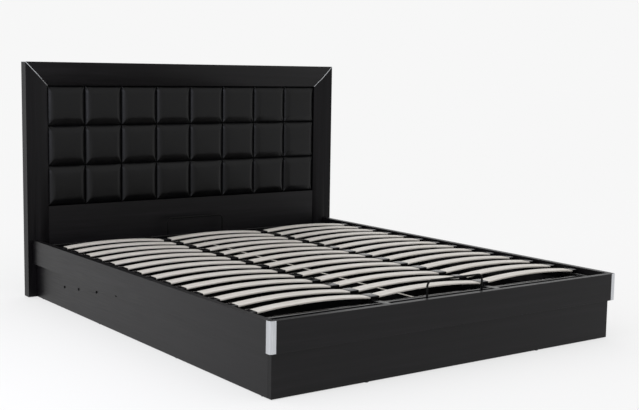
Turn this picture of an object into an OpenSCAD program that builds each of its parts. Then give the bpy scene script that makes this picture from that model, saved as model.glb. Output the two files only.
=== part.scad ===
// Lift-up storage bed: panelled headboard, board rails on a plinth box, and a slatted steel
// frame that swings up on a two-arm gas lift at each side.
// X runs across the bed, -Y towards the foot, +Z up. The origin is on the floor under the
// middle of the whole bed. Many sizes are measured from the headboard's front face towards
// the foot; ypos() turns such a distance into a Y coordinate.

/* [Bed] */
// Outside width across the side rails
platform_w = 1720; // [1400:1:2100]
// From the headboard's front face to the outside of the foot rail
platform_l = 2045; // [1700:1:2460]
// Top edge of the rails above the floor
rail_top = 275; // [265:1:340]
// Height of the rail boards
rail_h = 112; // [90:1:140]
// Thickness of the rail boards
rail_t = 25; // [18:1:30]
// How far the rails stand out past the plinth
plinth_inset = 20; // [17:1:40]
// Thickness of the plinth boards
plinth_t = 22; // [16:1:28]
// Height of the glides under the boards
glide_h = 3; // [2:1:10]
// Outer radius of the corner cap
cap_r = 10; // [4:1:16]
// Wall of the corner cap
cap_wall = 3; // [1.5:0.5:4]

/* [Headboard] */
// How far the headboard stands out past each side rail
headboard_side = 23; // [18:1:40]
// Height of the headboard
headboard_h = 1114; // [920:1:1400]
// Thickness of the headboard frame
headboard_t = 52; // [46:1:70]
// Width of the frame boards seen from the front
frame_face = 111; // [90:1:140]
// Width of the flat outer band of the frame boards
frame_band = 60; // [40:1:80]
// How far the inner band slopes back
bevel_drop = 14; // [8:1:18]
// Padded squares across
pad_cols = 8; // [5:1:12]
// Padded squares high
pad_rows = 3; // [3:1:3]
// Height of the padded field
pad_field_h = 572; // [470:1:690]
// Thickness of a padded square
pad_t = 24; // [16:1:26]
// Gap between padded squares
pad_gap = 2; // [1:0.5:4]
// Thickness of the board that the squares are fixed to
pad_board_t = 16; // [9:1:18]
// Thickness of the thin back panel
back_t = 10; // [6:1:12]
// Width of the metal strip let into each mitre
inlay_w = 3; // [2:0.5:4]

/* [Slatted frame] */
// Side of the square steel tube
tube = 30; // [25:1:32]
// Wall of the steel tube
tube_wall = 2; // [1:0.5:3]
// Free space between the slatted frame and the side rails
frame_gap_side = 7; // [5:1:12]
// Free space between the slatted frame and the foot rail
frame_gap_foot = 8; // [6:1:14]
// Underside of the slatted frame's tubes above the floor
frame_z = 224; // [222:1:228]
// Outer radius of the frame's foot corners
tube_bend_r = 62; // [50:1:80]
// Distance of the two inner tubes from the middle
inner_tube_x = 279; // [230:1:340]
// Width of a slat
slat_w = 53; // [44:1:70]
// Thickness of a slat
slat_t = 7; // [6:0.5:10]
// How far a slat bows upwards
slat_bow = 15; // [10:0.5:20]
// Spacing of the slats
slat_pitch = 124; // [100:0.5:150]
// First slat's middle, from the headboard
first_slat = 227; // [205:1:260]
// Height of the lower lip of a slat holder
holder_floor = 4; // [3:0.5:8]
// Length of a double slat holder along the slats
holder_l = 40; // [34:1:66]
// Height of the foot wire stop above the frame's tubes
foot_bail_h = 83; // [60:1:120]
// Half the width of the foot wire stop
foot_bail_x = 138; // [100:1:200]
// Height of the head wire stop above the frame's tubes
head_bail_h = 88; // [60:1:120]
// Half the width of the head wire stop
head_bail_x = 160; // [100:1:200]
// Diameter of the wire
wire_d = 8; // [6:0.5:10]

/* [Lift] */
// Thickness of the fixed side plates
base_plate_t = 4; // [3:0.5:6]
// Thickness of the swing arms
arm_t = 6; // [4:0.5:6]
// Width of the swing arms
arm_w = 20; // [16:1:24]
// Radius of the pivot pins
pin_r = 6; // [5:0.5:6]
// Diameter of the bolts through the plinth
plinth_bolt_d = 8; // [6:1:10]
// Diameter of the gas spring's cylinder
gas_d = 22; // [16:1:24]
// Diameter of the gas spring's rod
gas_rod_d = 10; // [8:1:10]

/* [Storage box] */
// Thickness of the floor panels
floor_t = 8; // [5:1:12]
// Underside of the floor panels above the floor
floor_z = 30; // [24:1:40]
// Thickness of the middle divider
divider_t = 15; // [12:1:22]
// Side of the square battens that carry the floor panels
batten = 22; // [18:1:24]

/* [Fits] */
// Gap between pieces that only stand next to each other
joint_gap = 1; // [0.5:0.5:2]
// Radial running clearance of a pivot
pin_fit = 0.1; // [0.05:0.01:0.1]
// Radial play of the two pivots that are left open
open_fit = 4.2; // [4:0.1:5]
// Radial clearance of a bolt or dowel in wood
bolt_fit = 0.3; // [0.1:0.1:0.5]

/* [Hidden] */
$fn = 48;
eps = 0.01;
// How far a cutting shape passes the face that it cuts.
cut = 1;

// Places worked out from the driving sizes.
head_y = (platform_l - headboard_t) / 2;
function ypos(d) = head_y - d;
half_w = platform_w / 2;
rail_bottom = rail_top - rail_h;
rail_in_x = half_w - rail_t;
rail_in_d = platform_l - rail_t;
cap_leg = rail_t;
plinth_out_x = half_w - plinth_inset;
plinth_in_x = plinth_out_x - plinth_t;
plinth_out_d = platform_l - plinth_inset;
plinth_in_d = plinth_out_d - plinth_t;

// Headboard: depth is measured back from its front face.
headboard_w = platform_w + 2 * headboard_side;
half_hw = headboard_w / 2;
opening_x = half_hw - frame_face;
opening_z = headboard_h - frame_face;
field_z = opening_z - pad_field_h;
back_depth = headboard_t - back_t;
pad_board_depth = back_depth - pad_board_t;
pad_front_depth = pad_board_depth - pad_t;
rebate = 12;
panel_foot = 20;
mitre_shift = inlay_w / sqrt(2);
pitch_x = 2 * opening_x / pad_cols;
pitch_z = pad_field_h / pad_rows;
stile_bolt_x = half_w - rail_t / 2;
stile_bolt_inset = 32;
stile_bolt_heights = [rail_bottom + stile_bolt_inset, rail_top - stile_bolt_inset];
stile_bolt_r = 4;
stile_bolt_depth = 45;
stile_bolt_head_r = 8;
stile_bolt_head_h = 5;
counterbore = 6;
barrel_r = 5;
barrel_l = 18;
barrel_d = 36;
bolt_play_end = 6;

// Slatted frame.
frame_x = rail_in_x - frame_gap_side;
frame_in_x = frame_x - tube;
frame_foot_d = rail_in_d - frame_gap_foot;
frame_head_d = 20;
frame_top = frame_z + tube;
cross_tube = 25;
cross_from_foot = 60;
cross_gap = 5;
foot_cross_d = frame_foot_d - tube - cross_from_foot - cross_tube;
head_cross_d = first_slat - slat_w / 2 - cross_gap - cross_tube;
last_slat = foot_cross_d - slat_w / 2 - cross_gap;
slat_rows = 1 + floor((last_slat - first_slat) / slat_pitch);
slat_z = frame_top + holder_floor;
slat_end_gap = 6;
slat_end_back = 13;
slat_end_x = frame_x - slat_end_back;
slat_facets = 480;
holder_wall = 2;
end_holder_l = 22;
end_holder_out = 3;
end_holder_stop = 1;
holder_play = 0.3;
slat_tip_rise = 2.4;
pocket_h = slat_t + slat_tip_rise;
holder_roof = 1.2;
holder_h = holder_floor + pocket_h + holder_roof;
bail_head_d = frame_head_d + tube / 2;
bail_foot_d = frame_foot_d - tube / 2;
bail_bend_r = 22;
stop_pad_t = 3;
stop_pad_l = 40;
stop_pad_w = 60;
stop_pad_ds = [rail_in_d - 920, rail_in_d - 500, rail_in_d - 120];
stop_pad_edge = 2;
stop_gap = 0.3;
batten_clear = 2;
side_batten_t = rail_in_x - plinth_in_x - batten_clear;
foot_batten_t = 25;
batten_top = frame_z - stop_pad_t;
floor_gap_x = divider_t / 2 + joint_gap;
box_head_d = joint_gap + plinth_t;
box_mid_d = (box_head_d + plinth_in_d) / 2;
divider_drop = 7;
angle_leg = 35;
angle_t = 3;
angle_h = 60;
angle_z = 70;
glide_r = 9;
glide_head_d = 60;
glide_foot_back = 40;

// Lift: pivots of the right side, as [distance from the headboard, height].
rear_base = [690, 105];
rear_frame = [82, 210];
front_base = [860, 90];
front_frame = [142, 200];
gas_base = [420, 118];
gas_crank = 92;
gas_crank_angle = 115.65;
gas_end = front_base + gas_crank * [cos(gas_crank_angle), sin(gas_crank_angle)];
bolt_first = [324, 102];
bolt_steps = [0, 153, 339, 529];
bolt_rise = 0.1;
side_play = 1;
// Layers of the mechanism, from the plinth board inwards.
plate_x = plinth_in_x - base_plate_t;
rear_arm_x = plate_x - side_play - arm_t;
bracket_t = 4;
bracket_x = rear_arm_x - side_play - bracket_t;
front_arm_x = bracket_x - side_play - arm_t;
gas_eye_w = 12;
gas_clear = 8;
gas_x = front_arm_x - gas_clear - gas_eye_w / 2;
eye_r = 12;
gas_arm_eye_r = 10;
gas_eye_r = 11;
eye_rim = 6;
open_eye_r = pin_r + open_fit + eye_rim;
ball_r = 5;
gas_open_fit = 0.4;
gas_slot = 4.5;
cap_disc_r = 10;
cap_disc_t = 3;
stud_shoulder = 5;
ball_shoulder = 2;
cap_rim = 4;

// ---- General shapes ----
// A board between low and high corners given as [low, high] for x, d and z.
module board(x, d, z)
    translate([x[0], ypos(d[1]), z[0]])
        cube([x[1] - x[0], d[1] - d[0], z[1] - z[0]]);

// A copy on each side of the bed's middle.
module both_sides() {
    children();
    mirror([1, 0, 0]) children();
}

// A round bar along X from x[0] to x[1] at the point p = [d, z].
module bar_x(p, r, x)
    translate([x[0], ypos(p[0]), p[1]])
        rotate([0, 90, 0]) cylinder(r = r, h = x[1] - x[0]);

// A flat plate in the side plane, from an outline given in [d, z], between two x values.
module side_plate(x)
    translate([x[0], head_y, 0])
        rotate([90, 0, 90]) linear_extrude(x[1] - x[0]) mirror([1, 0]) children();

// Square tube profile with its low corner at the origin.
module tube_profile(s = tube)
    difference() {
        square([s, s]);
        translate([tube_wall, tube_wall]) square([s - 2 * tube_wall, s - 2 * tube_wall]);
    }

// Square tube along the bed between two distances, with its low x edge at x.
module tube_along(x, d)
    translate([x, ypos(d[0]), frame_z])
        rotate([90, 0, 0]) linear_extrude(d[1] - d[0]) tube_profile();

// Square tube across the bed between two x values, with its head face at distance d. Its
// top lines up with the other tubes.
module tube_across(x, d, s = tube)
    translate([x[0], ypos(d + s), frame_top - s])
        rotate([90, 0, 90]) linear_extrude(x[1] - x[0]) tube_profile(s);

// ---- Headboard ----
// Section of a frame board: [across from its outer edge, back from its front face].
frame_points = [
    [0, 0], [frame_band, 0], [frame_face, bevel_drop], [frame_face, back_depth],
    [frame_face - rebate, back_depth], [frame_face - rebate, headboard_t], [0, headboard_t]
];

// Solid block behind a front outline given in [x, z], deep enough to cut any frame board.
module front_prism(points)
    translate([0, head_y + headboard_t + joint_gap, 0])
        rotate([90, 0, 0]) linear_extrude(headboard_t + 2 * joint_gap) polygon(points);

module stile_length()
    translate([half_hw, head_y, 0])
        mirror([1, 0, 0]) linear_extrude(headboard_h + cut) polygon(frame_points);

module top_rail_length()
    translate([-half_hw, head_y, headboard_h])
        rotate([90, 0, 90]) linear_extrude(headboard_w)
            polygon([for (p = frame_points) [p[1], -p[0]]]);

// Outline of the front on one side of the right mitre line, moved up or down by shift.
function mitre_line(x, shift) = [x, headboard_h + x - half_hw + shift];
function mirrored(p) = [-p[0], p[1]];

module headboard_bolt_holes()
    for (z = stile_bolt_heights) translate([stile_bolt_x, head_y, z]) {
        rotate([-90, 0, 0]) translate([0, 0, -cut])
            cylinder(r = stile_bolt_r + bolt_fit, h = headboard_t + 2 * cut);
        translate([0, headboard_t - counterbore, 0]) rotate([-90, 0, 0])
            cylinder(r = stile_bolt_head_r + joint_gap, h = counterbore + cut);
    }

module stile()
    difference() {
        intersection() {
            stile_length();
            front_prism([
                [half_hw + cut, glide_h], mitre_line(half_hw + cut, -mitre_shift),
                mitre_line(opening_x - cut, -mitre_shift), [opening_x - cut, glide_h]
            ]);
        }
        headboard_bolt_holes();
    }

module headboard_left_stile() color("#1d1c1e") mirror([1, 0, 0]) stile();
module headboard_right_stile() color("#1d1c1e") stile();

module headboard_top_rail() color("#1f1e20")
    intersection() {
        top_rail_length();
        front_prism([
            mitre_line(opening_x - cut, mitre_shift), mitre_line(half_hw + cut, mitre_shift),
            mirrored(mitre_line(half_hw + cut, mitre_shift)),
            mirrored(mitre_line(opening_x - cut, mitre_shift))
        ]);
    }

module mitre_inlays() color("#d9dade") both_sides()
    intersection() {
        top_rail_length();
        front_prism([
            mitre_line(opening_x - cut, -mitre_shift), mitre_line(half_hw + cut, -mitre_shift),
            mitre_line(half_hw + cut, mitre_shift), mitre_line(opening_x - cut, mitre_shift)
        ]);
    }

module headboard_back_panel() color("#232223")
    board([-opening_x - rebate + joint_gap, opening_x + rebate - joint_gap],
        [-headboard_t, -back_depth], [panel_foot, opening_z + rebate - joint_gap]);

module headboard_pad_board() color("#151414")
    board([-opening_x + joint_gap, opening_x - joint_gap],
        [-back_depth, -pad_board_depth], [field_z, opening_z - joint_gap]);

module headboard_lower_panel() color("#161516")
    board([-opening_x + joint_gap, opening_x - joint_gap],
        [-back_depth, -bevel_drop], [panel_foot, field_z - joint_gap]);

module pad_row(row) color("#18171a")
    for (col = [0 : pad_cols - 1])
        translate([col * pitch_x - opening_x, 0, row * pitch_z + field_z])
            board([pad_gap / 2, pitch_x - pad_gap / 2], [-pad_board_depth, -pad_front_depth],
                [pad_gap / 2, pitch_z - pad_gap / 2]);

module pads_bottom_row() pad_row(0);
module pads_middle_row() pad_row(1);
module pads_top_row() pad_row(2);

module headboard_bolts() color("#9a9ca0") both_sides()
    for (z = stile_bolt_heights) translate([stile_bolt_x, head_y, z]) rotate([90, 0, 0]) {
        translate([0, 0, -headboard_t + counterbore]) cylinder(
            r = stile_bolt_r, h = headboard_t - counterbore + stile_bolt_depth);
        translate([0, 0, -headboard_t + counterbore - stile_bolt_head_h])
            cylinder(r = stile_bolt_head_r, h = stile_bolt_head_h);
    }

module barrel_nuts() color("#b5b6b8") both_sides()
    for (z = stile_bolt_heights) difference() {
        bar_x([barrel_d, z], barrel_r, [rail_in_x + joint_gap, rail_in_x + joint_gap + barrel_l]);
        rail_bolt_bore(z);
    }

// ---- Rails and corner caps ----
module rail_bolt_bore(z)
    translate([stile_bolt_x, ypos(-cut), z])
        rotate([90, 0, 0]) cylinder(r = stile_bolt_r + bolt_fit, h = stile_bolt_depth + bolt_play_end);

module side_rail() color("#2b2a2e")
    difference() {
        board([rail_in_x, half_w], [0, platform_l - cap_leg], [rail_bottom, rail_top]);
        for (z = stile_bolt_heights) {
            rail_bolt_bore(z);
            bar_x([barrel_d, z], barrel_r + bolt_fit,
                [rail_in_x - cut, rail_in_x + 2 * joint_gap + barrel_l]);
        }
    }

module side_rail_right() side_rail();
module side_rail_left() mirror([1, 0, 0]) side_rail();

module foot_rail() color("#222224")
    board([-half_w + cap_leg, half_w - cap_leg], [rail_in_d, platform_l], [rail_bottom, rail_top]);

// Outline of the cap seen from above, with the outer corner rounded. The walls follow the
// outside faces of the two rails.
module corner_outline(leg, r)
    intersection() {
        square([leg, leg]);
        union() {
            translate([r, r]) circle(r = r);
            translate([r, 0]) square([leg, leg]);
            translate([0, r]) square([leg, leg]);
        }
    }

module at_corner()
    translate([half_w, ypos(platform_l), rail_bottom]) mirror([1, 0, 0])
        linear_extrude(rail_h) children();

module corner_cap() color("#c9cbcf")
    at_corner() difference() {
        corner_outline(cap_leg, cap_r);
        translate([cap_wall, cap_wall]) corner_outline(cap_leg, cap_r - cap_wall);
    }

module corner_cap_right() corner_cap();
module corner_cap_left() mirror([1, 0, 0]) corner_cap();

module corner_posts() color("#2a292b") both_sides()
    at_corner() translate([cap_wall, cap_wall])
        corner_outline(cap_leg - cap_wall, cap_r - cap_wall);

// ---- Plinth and storage box ----
module plinth_side() color("#2a292d")
    difference() {
        board([plinth_in_x, plinth_out_x], [joint_gap, plinth_in_d], [glide_h, rail_bottom]);
        for (p = plate_bolts)
            bar_x(p, plinth_bolt_d / 2 + bolt_fit, [plinth_in_x - cut, plinth_out_x + cut]);
    }

module plinth_side_right() plinth_side();
module plinth_side_left() mirror([1, 0, 0]) plinth_side();

module plinth_foot() color("#1f1f20")
    board([-plinth_out_x, plinth_out_x], [plinth_in_d, plinth_out_d], [glide_h, rail_bottom]);

module plinth_head() color("#1f1f20")
    board([-plinth_in_x, plinth_in_x], [joint_gap, box_head_d], [glide_h, rail_bottom]);

module side_batten() color("#151414")
    board([rail_in_x - side_batten_t, rail_in_x], [joint_gap, rail_in_d - foot_batten_t],
        [rail_bottom, batten_top]);

module side_batten_right() side_batten();
module side_batten_left() mirror([1, 0, 0]) side_batten();

module foot_batten() color("#151414")
    board([-rail_in_x, rail_in_x], [rail_in_d - foot_batten_t, rail_in_d],
        [rail_bottom, batten_top]);

module stop_pads() color("#2c2c2c") {
    both_sides() for (d = stop_pad_ds)
        board([rail_in_x - side_batten_t, frame_x], [d, d + stop_pad_l],
            [batten_top, frame_z - stop_gap]);
    both_sides() translate([platform_w / 4, 0, 0])
        board([0, stop_pad_w],
            [rail_in_d - foot_batten_t + stop_pad_edge, frame_foot_d - stop_pad_edge],
            [batten_top, frame_z - stop_gap]);
}

module floor_battens() color("#151414") {
    both_sides() {
        board([plinth_in_x - batten, plinth_in_x], [box_head_d, plinth_in_d],
            [floor_z - batten, floor_z]);
        board([divider_t / 2, divider_t / 2 + batten], [box_head_d, plinth_in_d],
            [floor_z - batten, floor_z]);
        board([divider_t / 2 + batten + joint_gap, plinth_in_x - batten - joint_gap],
            [box_mid_d - batten, box_mid_d + batten], [floor_z - batten, floor_z]);
    }
}

// The divider is notched round the batten on the foot rail.
module centre_divider() color("#d8d3c8")
    difference() {
        board([-divider_t / 2, divider_t / 2], [box_head_d, plinth_in_d],
            [glide_h, frame_z - divider_drop]);
        board([-divider_t, divider_t],
            [rail_in_d - foot_batten_t - joint_gap, plinth_in_d + cut],
            [rail_bottom - joint_gap, frame_z]);
    }

module floor_pair(d) color("#151414") both_sides()
    board([floor_gap_x, plinth_in_x - joint_gap], d, [floor_z, floor_z + floor_t]);

module storage_floor_head() floor_pair([box_head_d + joint_gap, box_mid_d - joint_gap / 2]);
module storage_floor_foot() floor_pair([box_mid_d + joint_gap / 2, plinth_in_d - joint_gap]);

module angle_piece()
    linear_extrude(angle_h) difference() {
        square([angle_leg, angle_leg]);
        translate([angle_t, angle_t]) square([angle_leg, angle_leg]);
    }

module plinth_angles() color("#b9bbbf") both_sides() {
    translate([plinth_in_x, ypos(box_head_d), angle_z]) rotate([0, 0, 180]) angle_piece();
    translate([plinth_in_x, ypos(plinth_in_d), angle_z]) rotate([0, 0, 90]) angle_piece();
}

module glide(x, d)
    translate([x, ypos(d), 0]) cylinder(r = glide_r, h = glide_h);

module glides() color("#3a3a3a") both_sides() {
    for (d = [glide_head_d, platform_l / 3, platform_l * 2 / 3, plinth_in_d - glide_foot_back])
        glide(plinth_out_x - plinth_t / 2, d);
    glide(platform_w / 4, plinth_out_d - plinth_t / 2);
    glide(half_hw - frame_band / 2, -headboard_t / 2);
}

// ---- Gas lift ----
plate_bolts = [for (s = bolt_steps) bolt_first + s * [1, bolt_rise]];
// How far a bolt's head stands out round the shank and from the board.
bolt_head = [2, 2];

module plinth_bolts() color("#151515") both_sides()
    for (p = plate_bolts) {
        bar_x(p, plinth_bolt_d / 2, [plate_x, plinth_out_x]);
        bar_x(p, plinth_bolt_d / 2 + bolt_head[0], [plinth_out_x, plinth_out_x + bolt_head[1]]);
    }

// Corners of the fixed plate, each set off from the bolt or pivot that it goes round.
plate_corners = [
    bolt_first + [-26, -20], bolt_first + [-26, 18], plate_bolts[3] + [24, 14],
    front_base + [26, -20], rear_base + [-30, -32], gas_base + [20, -24]
];

// Fixed plate with its three studs: one for each arm and one for the gas spring.
module lift_plate() color("#202124") {
    difference() {
        side_plate([plate_x, plinth_in_x]) polygon(plate_corners);
        for (p = plate_bolts)
            bar_x(p, plinth_bolt_d / 2 + bolt_fit, [plate_x - cut, plinth_in_x + cut]);
    }
    stud(rear_base, pin_r, pin_r, rear_arm_x, arm_t);
    stud(front_base, pin_r, pin_r + stud_shoulder, front_arm_x, arm_t);
    stud(gas_base, ball_r, ball_r + ball_shoulder, gas_x - gas_eye_w / 2, gas_eye_w);
}

// Stud from the fixed plate through a piece that is w wide with its inner face at x, with
// its end disc. The thick part stops just before that piece.
module stud(p, r, thick_r, x, w) {
    bar_x(p, thick_r, [x + w + side_play / 2, plate_x + eps]);
    bar_x(p, r, [x - side_play / 2, plate_x]);
    bar_x(p, r + cap_rim, [x - side_play / 2 - cap_disc_t, x - side_play / 2]);
}

module lift_plate_right() lift_plate();
module lift_plate_left() mirror([1, 0, 0]) lift_plate();

// Flat bar between two points [d, z], as wide as w.
module link_2d(a, b, w) {
    run = b - a;
    translate(a) rotate(atan2(run[1], run[0])) translate([0, -w / 2]) square([norm(run), w]);
}

module eye_2d(p, r) translate(p) circle(r = r);

module rear_arm() color("#1b1c1f")
    side_plate([rear_arm_x, rear_arm_x + arm_t]) difference() {
        union() {
            link_2d(rear_base, rear_frame, arm_w);
            eye_2d(rear_base, eye_r);
            eye_2d(rear_frame, eye_r);
        }
        eye_2d(rear_base, pin_r + pin_fit);
        eye_2d(rear_frame, pin_r + pin_fit);
    }

module rear_arm_right() rear_arm();
module rear_arm_left() mirror([1, 0, 0]) rear_arm();

// Bell crank: the long arm to the slatted frame and the short one to the gas spring. The
// eye at the slatted frame is the open pivot, so its hole has play.
module front_arm() color("#1b1c1f") {
    side_plate([front_arm_x, front_arm_x + arm_t]) difference() {
        union() {
            link_2d(front_base, front_frame, arm_w);
            link_2d(front_base, gas_end, arm_w);
            eye_2d(front_base, eye_r);
            eye_2d(gas_end, gas_arm_eye_r);
            eye_2d(front_frame, open_eye_r);
        }
        eye_2d(front_base, pin_r + pin_fit);
        eye_2d(front_frame, pin_r + open_fit);
    }
    gas_cap_x = gas_x - gas_eye_w / 2 - side_play;
    bar_x(gas_end, ball_r, [gas_cap_x, front_arm_x + eps]);
    bar_x(gas_end, ball_r + cap_rim, [gas_cap_x - cap_disc_t, gas_cap_x]);
}

module front_arm_right() front_arm();
module front_arm_left() mirror([1, 0, 0]) front_arm();

gas_run = gas_end - gas_base;
gas_len = norm(gas_run);
gas_cyl_start = 14;
gas_cyl_end = 310;
gas_wall = 3;
gas_bottom = 10;
gas_guide = 8;
gas_neck = [10, 14];
gas_piston_at = 230;
gas_piston_h = 10;
gas_piston_fit = 0.2;
gas_rim = 4;

// Places a spring piece drawn along +Z from the gas spring's fixed end.
module along_gas()
    translate([gas_x, ypos(gas_base[0]), gas_base[1]])
        rotate([90 - atan2(gas_run[1], gas_run[0]), 0, 0]) children();

module gas_cylinder() color("#2a2b2e")
    along_gas() {
        difference() {
            union() {
                translate([0, 0, gas_cyl_start]) cylinder(d = gas_d, h = gas_cyl_end - gas_cyl_start);
                translate([-gas_eye_w / 2, 0, 0]) rotate([0, 90, 0])
                    cylinder(r = gas_eye_r, h = gas_eye_w);
                translate([-gas_neck[0] / 2, -gas_neck[1] / 2, ball_r])
                    cube([gas_neck[0], gas_neck[1], gas_cyl_start]);
            }
            translate([-gas_eye_w, 0, 0]) rotate([0, 90, 0])
                cylinder(r = ball_r + pin_fit, h = 2 * gas_eye_w);
            translate([0, 0, gas_cyl_start + gas_bottom]) {
                cylinder(d = gas_d - 2 * gas_wall,
                    h = gas_cyl_end - gas_cyl_start - gas_bottom - gas_guide);
                cylinder(d = gas_rod_d + 2 * pin_fit, h = gas_cyl_end);
            }
        }
    }

module gas_cylinder_right() gas_cylinder();
module gas_cylinder_left() mirror([1, 0, 0]) gas_cylinder();

// Rod with its piston and the open eye at the front arm. The eye is a slot, because the
// arm's stud rises a little in mid travel.
module gas_rod() color("#c4c6ca")
    along_gas() difference() {
        union() {
            translate([0, 0, gas_piston_at])
                cylinder(d = gas_rod_d, h = gas_len - gas_piston_at - ball_r - gas_rim);
            translate([0, 0, gas_piston_at])
                cylinder(d = gas_d - 2 * (gas_wall + gas_piston_fit), h = gas_piston_h);
            gas_eye(ball_r + gas_open_fit + gas_rim, gas_eye_w);
        }
        gas_eye(ball_r + gas_open_fit, gas_eye_w + 2 * cut);
    }

module gas_eye(r, w)
    translate([-w / 2, 0, gas_len]) {
        rotate([0, 90, 0]) cylinder(r = r, h = w);
        translate([0, gas_slot, 0]) rotate([0, 90, 0]) cylinder(r = r, h = w);
        translate([0, 0, -r]) cube([w, gas_slot, 2 * r]);
    }

module gas_rod_right() gas_rod();
module gas_rod_left() mirror([1, 0, 0]) gas_rod();

// ---- Slatted frame ----
module frame_side_tube() color("#1a1b1d")
    tube_along(frame_in_x, [frame_head_d, frame_foot_d - tube_bend_r]);

module frame_side_tube_right() frame_side_tube();
module frame_side_tube_left() mirror([1, 0, 0]) frame_side_tube();

module frame_foot_tube() color("#1a1b1d") {
    bend_x = frame_x - tube_bend_r;
    tube_across([-bend_x, bend_x], frame_foot_d - tube);
    both_sides() translate([bend_x, ypos(frame_foot_d - tube_bend_r), frame_z])
        rotate([0, 0, -90]) rotate_extrude(angle = 90)
            translate([tube_bend_r - tube, 0]) tube_profile();
}

module frame_head_tube() color("#1a1b1d")
    tube_across([-frame_in_x, frame_in_x], frame_head_d);

module inner_tube() color("#1a1b1d")
    tube_along(inner_tube_x - tube / 2, [frame_head_d + tube, frame_foot_d - tube]);

module inner_tube_right() inner_tube();
module inner_tube_left() mirror([1, 0, 0]) inner_tube();

module cross_tubes() color("#1a1b1d")
    for (d = [head_cross_d, foot_cross_d]) {
        tube_across([-inner_tube_x + tube / 2, inner_tube_x - tube / 2], d, cross_tube);
        both_sides()
            tube_across([inner_tube_x + tube / 2, frame_in_x], d, cross_tube);
    }

// Corners of the plate under a side tube, set off from the two pivots on it.
bracket_corners = [
    rear_frame + [-24, -8], [rear_frame[0] - 24, frame_z],
    [front_frame[0] + 26, frame_z], front_frame + [26, -4],
    front_frame + [14, -18], front_frame + [-14, -18]
];

// Plate under each side tube with the two pivots of the arms.
module lift_brackets() color("#202124") both_sides() {
    side_plate([bracket_x, bracket_x + bracket_t]) polygon(bracket_corners);
    bar_x(rear_frame, pin_r, [bracket_x, rear_arm_x + arm_t + side_play / 2]);
    bar_x(rear_frame, cap_disc_r,
        [rear_arm_x + arm_t + side_play / 2, rear_arm_x + arm_t + side_play / 2 + cap_disc_t]);
    bar_x(front_frame, pin_r, [front_arm_x - side_play / 2, bracket_x + eps]);
    bar_x(front_frame, pin_r + open_fit + cap_rim,
        [front_arm_x - side_play / 2 - cap_disc_t, front_arm_x - side_play / 2]);
}

// ---- Slats ----
function row_d(i) = first_slat + i * slat_pitch;

// A bowed slat between two x values, at the slat row i.
module slat(x, i) {
    half = (x[1] - x[0]) / 2;
    bow_r = half * half / (2 * slat_bow) + slat_bow / 2;
    translate([x[0] + half, ypos(row_d(i) - slat_w / 2), slat_z])
        rotate([90, 0, 0]) linear_extrude(slat_w)
            intersection() {
                translate([0, slat_bow - bow_r]) difference() {
                    circle(r = bow_r + slat_t, $fn = slat_facets);
                    circle(r = bow_r, $fn = slat_facets);
                }
                translate([-half, -cut]) square([2 * half, slat_bow + slat_t + 2 * cut]);
            }
}

module slat_column(x) color("#e3ddd2")
    for (i = [0 : slat_rows - 1]) slat(x, i);

slat_in_x = inner_tube_x + slat_end_gap;
module slats_left() slat_column([-slat_end_x, -slat_in_x]);
module slats_middle() slat_column([-inner_tube_x + slat_end_gap, inner_tube_x - slat_end_gap]);
module slats_right() slat_column([slat_in_x, slat_end_x]);

// Pocket in a holder for a slat's end.
module slat_pocket(x, d)
    board(x, [d - slat_w / 2 - holder_play, d + slat_w / 2 + holder_play],
        [slat_z - holder_play, slat_z + pocket_h]);

module holder_body(x, d)
    board(x, [d - slat_w / 2 - holder_wall, d + slat_w / 2 + holder_wall],
        [frame_top, frame_top + holder_h]);

module double_holders() color("#17171a") both_sides()
    for (i = [0 : slat_rows - 1]) difference() {
        holder_body([inner_tube_x - holder_l / 2, inner_tube_x + holder_l / 2], row_d(i));
        slat_pocket([inner_tube_x - holder_l, inner_tube_x - slat_end_gap + end_holder_stop], row_d(i));
        slat_pocket([inner_tube_x + slat_end_gap - end_holder_stop, inner_tube_x + holder_l], row_d(i));
    }

module end_holders() color("#17171a") both_sides()
    for (i = [0 : slat_rows - 1]) difference() {
        holder_body([slat_end_x + end_holder_out - end_holder_l, slat_end_x + end_holder_out],
            row_d(i));
        slat_pocket([slat_end_x - 2 * end_holder_l, slat_end_x + end_holder_stop], row_d(i));
    }

// ---- Wire stops ----
// Wire hoop across the bed, on the tube's top at distance d.
module bail(d, half, h) color("#151517")
    translate([0, ypos(d), frame_top]) {
        both_sides() {
            translate([half, 0, 0]) cylinder(d = wire_d, h = h - wire_d / 2 - bail_bend_r);
            translate([half - bail_bend_r, 0, h - wire_d / 2 - bail_bend_r])
                rotate([90, 0, 0]) rotate_extrude(angle = 90)
                    translate([bail_bend_r, 0]) circle(d = wire_d);
        }
        translate([-half + bail_bend_r, 0, h - wire_d / 2])
            rotate([0, 90, 0]) cylinder(d = wire_d, h = 2 * (half - bail_bend_r));
    }

module foot_bail() bail(bail_foot_d, foot_bail_x, foot_bail_h);
module head_bail() bail(bail_head_d, head_bail_x, head_bail_h);

headboard_top_rail();
headboard_left_stile();
headboard_right_stile();
mitre_inlays();
headboard_back_panel();
headboard_pad_board();
headboard_lower_panel();
pads_top_row();
pads_middle_row();
pads_bottom_row();
side_rail_left();
side_rail_right();
foot_rail();
corner_cap_left();
corner_cap_right();
corner_posts();
plinth_side_left();
plinth_side_right();
plinth_foot();
plinth_head();
side_batten_left();
side_batten_right();
foot_batten();
stop_pads();
floor_battens();
centre_divider();
storage_floor_head();
storage_floor_foot();
plinth_angles();
glides();
headboard_bolts();
barrel_nuts();
plinth_bolts();
lift_plate_left();
lift_plate_right();
rear_arm_left();
rear_arm_right();
front_arm_left();
front_arm_right();
gas_cylinder_left();
gas_cylinder_right();
gas_rod_left();
gas_rod_right();
frame_side_tube_left();
frame_side_tube_right();
frame_foot_tube();
frame_head_tube();
inner_tube_left();
inner_tube_right();
cross_tubes();
lift_brackets();
slats_left();
slats_middle();
slats_right();
double_holders();
end_holders();
foot_bail();
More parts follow.
